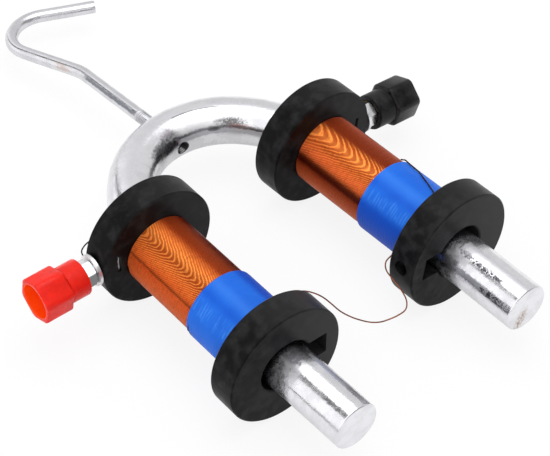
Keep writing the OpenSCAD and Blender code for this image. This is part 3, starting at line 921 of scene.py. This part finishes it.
# %% Marks on threads and nuts
def groove(finish, along, angle):
    """1 at the root of a thread and -1 at its crest. The angle is in degrees."""
    return finish.maths("COSINE", (along / PITCH - angle / 360) * (2 * math.pi))


def hook_marks(finish):
    """Painted dark thread roots, a grey ring, a long dark stripe on the shank, a brown stain and a dark cut
    end.
    """
    x, y, z = finish.parts(finish.place)
    angle = finish.angle(z, x)
    torn = finish.grain(finish.stretch(finish.place, 1.0, 0.4, 1.0), 0.7, 4.0, 0.7) - 0.5
    thread_end = HOOK_RECESS + HOOK_THREAD
    roots = finish.rise(groove(finish, y - HOOK_RECESS, angle), -0.3, 0.2)
    root_shade_and_dirt = roots * finish.rise(y, thread_end, thread_end - 0.4)
    ring = finish.band(y, 19.6, 21.2, 0.3)
    shank_stripe = finish.band(angle + torn * 30, 124, 156, 6) * finish.band(y + torn * 6, 20.6, 47, 1.2)
    below_kink = finish.band(finish.angle(z, x + 2.4) + torn * 60, 110, 180, 14)
    stain = finish.band(y + torn * 9, 53, 58, 1.2) * below_kink
    cut_end = finish.rise(y, HOOK_RECESS + 0.3, HOOK_RECESS + 0.2)
    return [
        (shank_stripe * 0.85, (0.13, 0.14, 0.165)),
        (stain * 0.4, (0.50, 0.30, 0.20)),
        # Painted shade and dirt in the roots of the thread.
        (root_shade_and_dirt * 0.7, (0.22, 0.23, 0.22)),
        # Painted grey and a rougher plate that dim the glint where the thread runs out.
        (ring * 0.8, (0.60, 0.60, 0.63), 0.35),
        # Painted shade on the cut end, at the bottom of the hole.
        (cut_end * 0.9, DARK),
    ]


def tapped_marks(finish):
    """Painted shade and glints in the crown's thread: it is black except on its lowest crests, which keep
    the bright plate.
    """
    x, y, z = finish.parts(finish.place)
    angle = finish.angle(z, x)
    crest_glint = finish.rise(groove(finish, y, angle), -0.1, -0.6) * finish.band(angle, 252, 302, 6)
    # Black as painted shade, except for the painted glints.
    return [((1 - crest_glint) * 0.97, (0.05, 0.05, 0.055))]


def nut_marks(finish):
    """The left nut's front face is darker, and both nuts are speckled."""
    x, y, _ = finish.parts(finish.place)
    darker_front = finish.rise(y, 83.2, 83.0) * finish.rise(x, 1, -1)
    specks = finish.rise(finish.grain(finish.place, 0.35, 3.0, 0.6), 0.55, 0.66)
    return [(darker_front * 0.85, (0.17, 0.185, 0.18), 0.25), (specks * 0.4, (0.35, 0.35, 0.36), 0.2)]


# %% Plated small parts
def both(part):
    """The left and the right node of a part that is there twice."""
    return [nodes[f"{side}_{part}"] for side in ("left", "right")]


# The crown's thread gets the palest zinc, so that its painted glints are bright.
paint(zinc("crown_thread_zinc", (0.95, 0.95, 0.96), 0.30, 0.0, tapped_marks), crown_thread)
paint(zinc("hook_zinc", (0.70, 0.70, 0.73), 0.2, 0.03, hook_marks), hook_rod)
paint(zinc("bright_nickel", (0.74, 0.74, 0.76), 0.14, 0.02, nut_marks), *both("clamp_nut"), *studs.values())
paint(zinc("dull_nickel", (0.88, 0.88, 0.90), 0.34, 0.02), *both("washer"))
# The square nuts are paler than the other zinc: a painted highlight where they show through the slits.
paint(zinc("pale_zinc", (0.95, 0.95, 0.95), 0.55, 0.02), *both("square_nut"))

# %% [markdown]
# ## Enamelled copper
#
# Enamel turns copper orange-brown and gives it a clear gloss. The eye sees curved bands on such a
# coil, like the grain of wood: the turns aren't quite evenly spaced, so the highlight on one turn
# sits a little off the next one's. Here those bands are painted highlight and shade. They are arcs whose
# tips lie on the coil's bright line. An arc is all the places where `along - reach(angle)` is the same,
# so a sine of that draws them, and a finer sine lays thin lines between them. The right coil's bands
# crowd toward its rear flange, and the square of the length does that. The colour below them goes round
# the coil through a list of zones, which paint its lit side, its shaded side and dark reflected lines
# over the enamel's own colour.

# %% Copper
ARC_SLOPES, TIP_ROUND, ARC_RISE, FINE_BANDS = (0.38, 0.48), 4, 1.3, 2.1
LIT_BAND, DARK_BAND, DARK_STREAK = (1.0, 0.40, 0.085), (0.40, 0.058, 0.010), (0.22, 0.04, 0.012)


def copper(name, side, tip, fade, period, crowding, zones):
    """Enamelled wire on a coil, with painted highlight bands and zones. Tip is the angle of the arcs' tips,
    and fade the angles where they end.
    """
    finish = Finish(name)
    x, y, z = finish.parts(finish.place)
    angle = finish.angle(z * SIDE[side], x, -90)
    wobble = finish.grain(finish.place, 1.2, 2.0) - 0.5
    warp = finish.grain(finish.place, 3.0, 2.0) - 0.5
    body = finish.blend(angle + wobble * 5, -90, 270, zones)

    off = (angle - tip) * SIDE[side]
    spread = finish.maths("ABSOLUTE", off) * finish.rise(off, -TIP_ROUND, TIP_ROUND, *ARC_SLOPES)
    reach = (finish.maths("SQRT", spread * spread + TIP_ROUND**2) - TIP_ROUND) * ARC_RISE
    along = y - reach + warp * 1.8 + wobble * 0.5
    pace = 2 * math.pi / period
    bands = finish.maths("SINE", along * pace - along * along * crowding)
    fringes = finish.maths("SINE", along * (pace * FINE_BANDS))
    hot = finish.rise(bands + fringes * 0.35, -0.3, 0.9)

    share = finish.band(angle, *fade, 6)
    near = finish.rise(spread, 3, 15, 1.0, 0.35) * finish.rise(off, -26, -12, 0.35, 1.0)
    # Painted highlight bands, then painted darker bands between them.
    colour = finish.mix(hot * share * near * 0.9, body, LIT_BAND)
    colour = finish.mix((1 - hot) * share * (near * 0.42 + 0.18), colour, DARK_BAND)
    streak = finish.grain(finish.stretch(finish.place, 1.0, 3.5, 1.0), 1.4, 3.0, 0.6)
    colour = finish.mix(finish.rise(streak, 0.45, 0.75) * 0.45, colour, DARK_STREAK)
    return finish.surface(Base_Color=colour, Metallic=1.0, Roughness=0.26 + streak * 0.12)


# %% Copper of the two coils
# Zones round each coil by angle: the enamel's colour with painted highlights, painted shade and thin
# painted dark reflections.
LEFT_ZONES = [
    (-80, (0.30, 0.05, 0.014)), (-30, (0.58, 0.115, 0.024)), (8, (0.66, 0.12, 0.025)),
    (23, (0.76, 0.135, 0.028)), (26, (0.24, 0.04, 0.01)), (29, (0.76, 0.129, 0.025)),
    (46, (0.92, 0.175, 0.029)), (58, (0.81, 0.142, 0.026)), (70, (0.94, 0.33, 0.072)),
    (80, (0.80, 0.23, 0.046)), (94, (0.50, 0.078, 0.016)), (130, (0.32, 0.046, 0.010)),
    (260, (0.30, 0.06, 0.02)),
]
RIGHT_ZONES = [
    (-80, (0.30, 0.06, 0.02)), (45, (0.40, 0.066, 0.022)), (98, (0.40, 0.060, 0.016)),
    (110, (0.67, 0.17, 0.040)), (119, (0.89, 0.32, 0.083)), (130, (0.86, 0.172, 0.036)),
    (146, (0.95, 0.193, 0.052)), (157, (0.84, 0.156, 0.045)), (163, (0.17, 0.019, 0.008)),
    (171, (0.13, 0.011, 0.003)), (176, (0.31, 0.046, 0.011)), (215, (0.50, 0.10, 0.026)),
    (260, (0.30, 0.06, 0.02)),
]
paint(copper("left_enamel", "left", 62, (26, 96), 1.75, 0.0, LEFT_ZONES), coils["left"])
paint(copper("right_enamel", "right", 118, (101, 163), 2.1, 0.036, RIGHT_ZONES), coils["right"])

# %% Single strands
def bare_strand(name, bright, dark):
    """Single wire. Its enamel is darker in places, and behind the front flanges' faces it is painted
    blue-black, as shade and the tape's reflection.
    """
    finish = Finish(name)
    _, y, _ = finish.parts(finish.place)
    tint = finish.grain(finish.place, 6.0, 2.0)
    colour = finish.mix(finish.rise(tint, 0.35, 0.65), bright, dark)
    # Painted shade with the tape's blue reflection, behind the front flanges' faces.
    colour = finish.mix(finish.rise(y, 36.5, 38) * 0.9, colour, (0.012, 0.012, 0.030))
    return finish.surface(Base_Color=colour, Metallic=0.9, Roughness=0.35)


paint(bare_strand("loose_strand", (0.30, 0.10, 0.05), (0.16, 0.05, 0.025)), link_strand)
paint(bare_strand("lead_strand", (0.08, 0.035, 0.02), (0.03, 0.015, 0.01)), *start_strands.values())

# %% [markdown]
# ## Blue vinyl tape
#
# Insulating tape is a soft satin vinyl, and the turns below show through it as ridges. Its light and
# shade are painted in its colour: paler on the ridges and along a lit line, deeper along a shaded line,
# and deeper still toward the side that is turned away. Most of that is a slow change of blue round the
# coil, with ridges drawn only where the turns show through. Where the left tape's rear edge has peeled,
# the shade under it is painted black.

# %% Tape
BLUE, DEEP_BLUE, PALE_BLUE = (0.010, 0.138, 0.67), (0.003, 0.072, 0.52), (0.050, 0.24, 0.78)
SHADE_BLUE, PEEL_SHADOW_BLACK = (0.002, 0.050, 0.44), (0.004, 0.005, 0.012)
RIDGE_PITCH = 0.95


def vinyl(side, ribbed, top, shade, away):
    """Blue tape with painted light and shade. Its angles: where the turns show most, its painted lightest
    and deepest line, and the start and the end of the painted shade toward the side that is turned away."""
    finish = Finish(f"{side}_vinyl")
    x, y, z = finish.parts(finish.place)
    angle = finish.angle(z * SIDE[side], x, -90)
    cloud = finish.grain(finish.place, 7.0, 2.0)
    drawn = finish.grain(finish.stretch(finish.place, 0.35, 1.0, 0.35), 1.6, 2.0, 0.5)
    ridges = finish.maths("SINE", y * (2 * math.pi / RIDGE_PITCH) + drawn * 9) * 0.5 + 0.5
    ribs = ridges * finish.rise(drawn, 0.35, 0.60) * finish.band(angle + (drawn - 0.5) * 22, *ribbed, 5)

    # `deep` is random cloudiness and a painted shaded line; `pale` is a painted lit line and painted
    # highlights on the ridges.
    deep = finish.rise(cloud, 0.3, 0.7) * 0.3 + finish.band(angle, shade - 4, shade + 4, 8) * 0.6
    pale = finish.band(angle, top - 5, top + 5, 9) * 0.4 + ribs * 0.6
    colour = finish.mix(pale, finish.mix(deep, BLUE, DEEP_BLUE), PALE_BLUE)
    # Painted shade toward the side that is turned away.
    colour = finish.mix(finish.rise(angle + (drawn - 0.5) * 6, *away) * 0.75, colour, SHADE_BLUE)
    if side == "left":
        rear = TAPE_START + TAPE_W["left"]
        # Painted shade under the peeled edge.
        peel_shadow = finish.band(angle + (y - rear) * 14, -34, -10, 3) * finish.rise(y, rear - 1.3, rear - 0.9)
        colour = finish.mix(peel_shadow * 0.9, colour, PEEL_SHADOW_BLACK)
    return finish.surface(Base_Color=colour, Roughness=0.42 + drawn * 0.12, Specular_IOR_Level=0.14,
                          Normal=finish.bump(ridges * drawn, 0.02, 0.7))


paint(vinyl("left", ribbed=(30, 52), top=79, shade=60, away=(108, 122)), bands["left"])
paint(vinyl("right", ribbed=(137, 156), top=109, shade=127, away=(150, 166)), bands["right"])

# %% [markdown]
# ## Black plastic
#
# The bobbins are moulded in black nylon or ABS with a faint grain from the mould. Black is really a
# dark grey, and a satin black shows its shape by its sheen only, so the roughness gets the most care:
# a fine grain, cloudy patches left by handling, and a few short scuffs. Light and shade are painted on
# the flanges: each is greyer toward its right side.

# %% Black plastic
CLOUD_GREY, SIDE_LIGHT_GREY = (0.034, 0.034, 0.036), (0.030, 0.030, 0.032)


def black_plastic(name, gloss, tone, sheen, painted_grey=None):
    """Black moulding. Gloss is its lowest roughness, and the last argument says where painted light makes
    it greyer.
    """
    finish = Finish(name)
    fine = finish.grain(finish.place, 0.18, 2.0, 0.6)
    patches = finish.grain(finish.place, 6.0, 3.0, 0.55)
    scuffs = finish.grain(finish.stretch(finish.place, 1.0, 0.35, 2.2), 1.3, 4.0, 0.7, 1.2)
    scuffs = finish.rise(scuffs, 0.64, 0.72)
    clouds = finish.rise(finish.grain(finish.place, 3.2, 3.0, 0.5), 0.38, 0.72)
    colour = finish.mix(clouds * 0.4 + scuffs * 0.4, (tone, tone, tone * 1.08), CLOUD_GREY)
    # Painted light: greyer on one side of each flange.
    if painted_grey:
        colour = finish.mix(painted_grey(finish) * (patches * 1.2 + 0.3), colour, SIDE_LIGHT_GREY)
    roughness = gloss + finish.rise(patches, 0.3, 0.75) * 0.14 + scuffs * 0.06
    return finish.surface(Base_Color=colour, Roughness=roughness, Specular_IOR_Level=sheen,
                          Normal=finish.bump(fine, 0.012, 0.5))


def painted_side_light(finish):
    """Painted light and shade: each flange is greyer toward its right, and the rear ones less so."""
    x, y, _ = finish.parts(finish.place)
    middle = finish.rise(x, -1, 1, -LEG_X, LEG_X)
    return finish.rise(x - middle, -14, 18) * finish.rise(y, 70, 60, 0.6, 1.0)


paint(black_plastic("bobbin_black", 0.34, 0.003, 0.08, painted_side_light), *both("bobbin"))
paint(black_plastic("cap_black", 0.24, 0.004, 0.20), caps["right"])

# %% [markdown]
# ## Red plastic and brass
#
# The red cap is a cheap translucent moulding: light goes in at the rim and comes out of the mouth as
# orange. Subsurface scattering does that, and the inside of the mouth is painted a warmer red, since
# only there does light reach it from all round.

# %% Red plastic and brass
RED, DEEP_RED, MOUTH_RED = (0.82, 0.020, 0.010), (0.62, 0.010, 0.006), (1.0, 0.09, 0.004)

red = Finish("red_translucent")
x, y, z = red.parts(red.place)
from_axis = red.maths("SQRT", (y - POST_Y) * (y - POST_Y) + z * z)
in_mouth = red.rise(from_axis, MOUTH_R + 0.05, MOUTH_R + 0.25, 1.0, 0.0) * red.rise(x, 31.0, 32.5)
mottle = red.grain(red.place, 2.5, 3.0, 0.6)
skin_red = red.mix(red.rise(mottle, 0.35, 0.7) * 0.5, RED, DEEP_RED)
red.surface(
    Base_Color=red.mix(in_mouth, skin_red, MOUTH_RED), Roughness=0.22 + mottle * 0.14,
    Normal=red.bump(red.grain(red.place, 1.6, 2.0), 0.09, 0.6), Specular_IOR_Level=0.18,
    Subsurface_Weight=0.35, Subsurface_Radius=(1.0, 0.25, 0.1), Subsurface_Scale=0.0016)
paint(red, caps["left"])

brass = Finish("turned_brass")
lathe = brass.grain(brass.place, 0.5, 2.0)
brass.surface(Base_Color=brass.mix(lathe, (0.20, 0.14, 0.06), (0.10, 0.07, 0.04)), Metallic=1.0,
              Roughness=0.4 + lathe * 0.1)
paint(brass, nodes["red_insert"], nodes["black_insert"])

# %% [markdown]
# ## The studio
#
# Bright metal shows the room more than itself. The photograph was made on a white table, under a wide
# soft lamp close above, with white walls to the left, a dark gap like a doorway in them, and a darker
# room to the right and behind the camera. Where the table ends, a thin dark line runs along the
# horizon, and it draws the dark streaks on the legs and the coils. So the world is plain white to the
# camera only. To everything else it is that room, worked out from the direction alone.

# %% World
world = bpy.data.worlds.new("studio")
world.use_nodes = True
bpy.context.scene.world = world
room = Graph(world.node_tree)
heading = room.node("ShaderNodeTexCoord", None, None, 0)
x, y, z = [room.node("ShaderNodeSeparateXYZ", None, {0: heading}, i) for i in range(3)]
left_wall = room.rise(x, 0.5, -0.2, 0.80, 1.25)
doorway = room.band(room.angle(z, x), 104, 126, 2) * room.rise(y, 0.36, 0.43)
camera_side = room.rise(y, -0.3, -0.6) * room.band(z, 0.2, 0.75, 0.1)
horizon = room.band(z, -0.125, -0.025, 0.008)
reflected = left_wall * (1 - doorway * 0.92) * (1 - camera_side * 0.6) * (1 - horizon * 0.95)
seen = room.node("ShaderNodeLightPath", None, None, 0)
background = room.node("ShaderNodeBackground", None, {0: (1, 1, 1, 1), 1: seen + (1 - seen) * reflected})
room.node("ShaderNodeOutputWorld", None, {0: background})
print("world:", len(room.tree.nodes), "nodes")

# %% Lamps
def lamp(name, place, size, power, aim=(0, 0.07, 0)):
    """A soft rectangular lamp that faces a point."""
    data = bpy.data.lights.new(name, "AREA")
    data.shape = "RECTANGLE"
    data.size, data.size_y = size
    data.energy = power
    piece = bpy.data.objects.new(name, data)
    bpy.context.scene.collection.objects.link(piece)
    piece.location = place
    piece.rotation_euler = (Vector(aim) - Vector(place)).to_track_quat("-Z", "Y").to_euler()
    print(f"{name}: {power} W, {size[0]} by {size[1]} m")


lamp("overhead_softbox", (0.037, 0.08, 0.31), (0.246, 0.29), 0.42, (0.037, 0.08, 0))
lamp("front_fill", (-0.7, -0.6, 0.5), (0.6, 0.6), 0.7)

# %% [markdown]
# ## The table
#
# The magnet rests on the lower rims of its four flanges, and the table is laid just under them. To the
# camera it is mixed with plain white by six parts in seven, so that it reads as a white page and still
# keeps the shadow. To reflections and through clear pieces it is mixed by less than half, because the
# table close to the magnet is in its shade, and the metal's underside should stay grey.

# %% Table
TABLE_SIZE, TABLE_GAP = 1.4, 0.0001
WHITE_TO_CAMERA, WHITE_TO_METAL = 0.86, 0.45

bpy.ops.mesh.primitive_plane_add(size=TABLE_SIZE, location=(0.5, 0.06, cad_box[0][2] - TABLE_GAP))
table = bpy.context.object
table.name = "table"
top = Finish("table_white")
seen, glossy, through = [top.node("ShaderNodeLightPath", None, None, output) for output in (0, 3, 6)]
paper = top.node("ShaderNodeBsdfDiffuse", None, {0: (0.9, 0.9, 0.9, 1)})
glow = top.node("ShaderNodeEmission", None, {0: (1, 1, 1, 1), 1: 1.0})
share = top.maths("MAXIMUM", seen * WHITE_TO_CAMERA, top.maths("MAXIMUM", glossy, through) * WHITE_TO_METAL)
page = top.node("ShaderNodeMixShader", None, {0: share, 1: paper, 2: glow})
top.node("ShaderNodeOutputMaterial", None, {0: page})
paint(top, table)
print("table top at", round(table.location.z, 5), "m")

bpy.context.scene.view_settings.view_transform = "Standard"
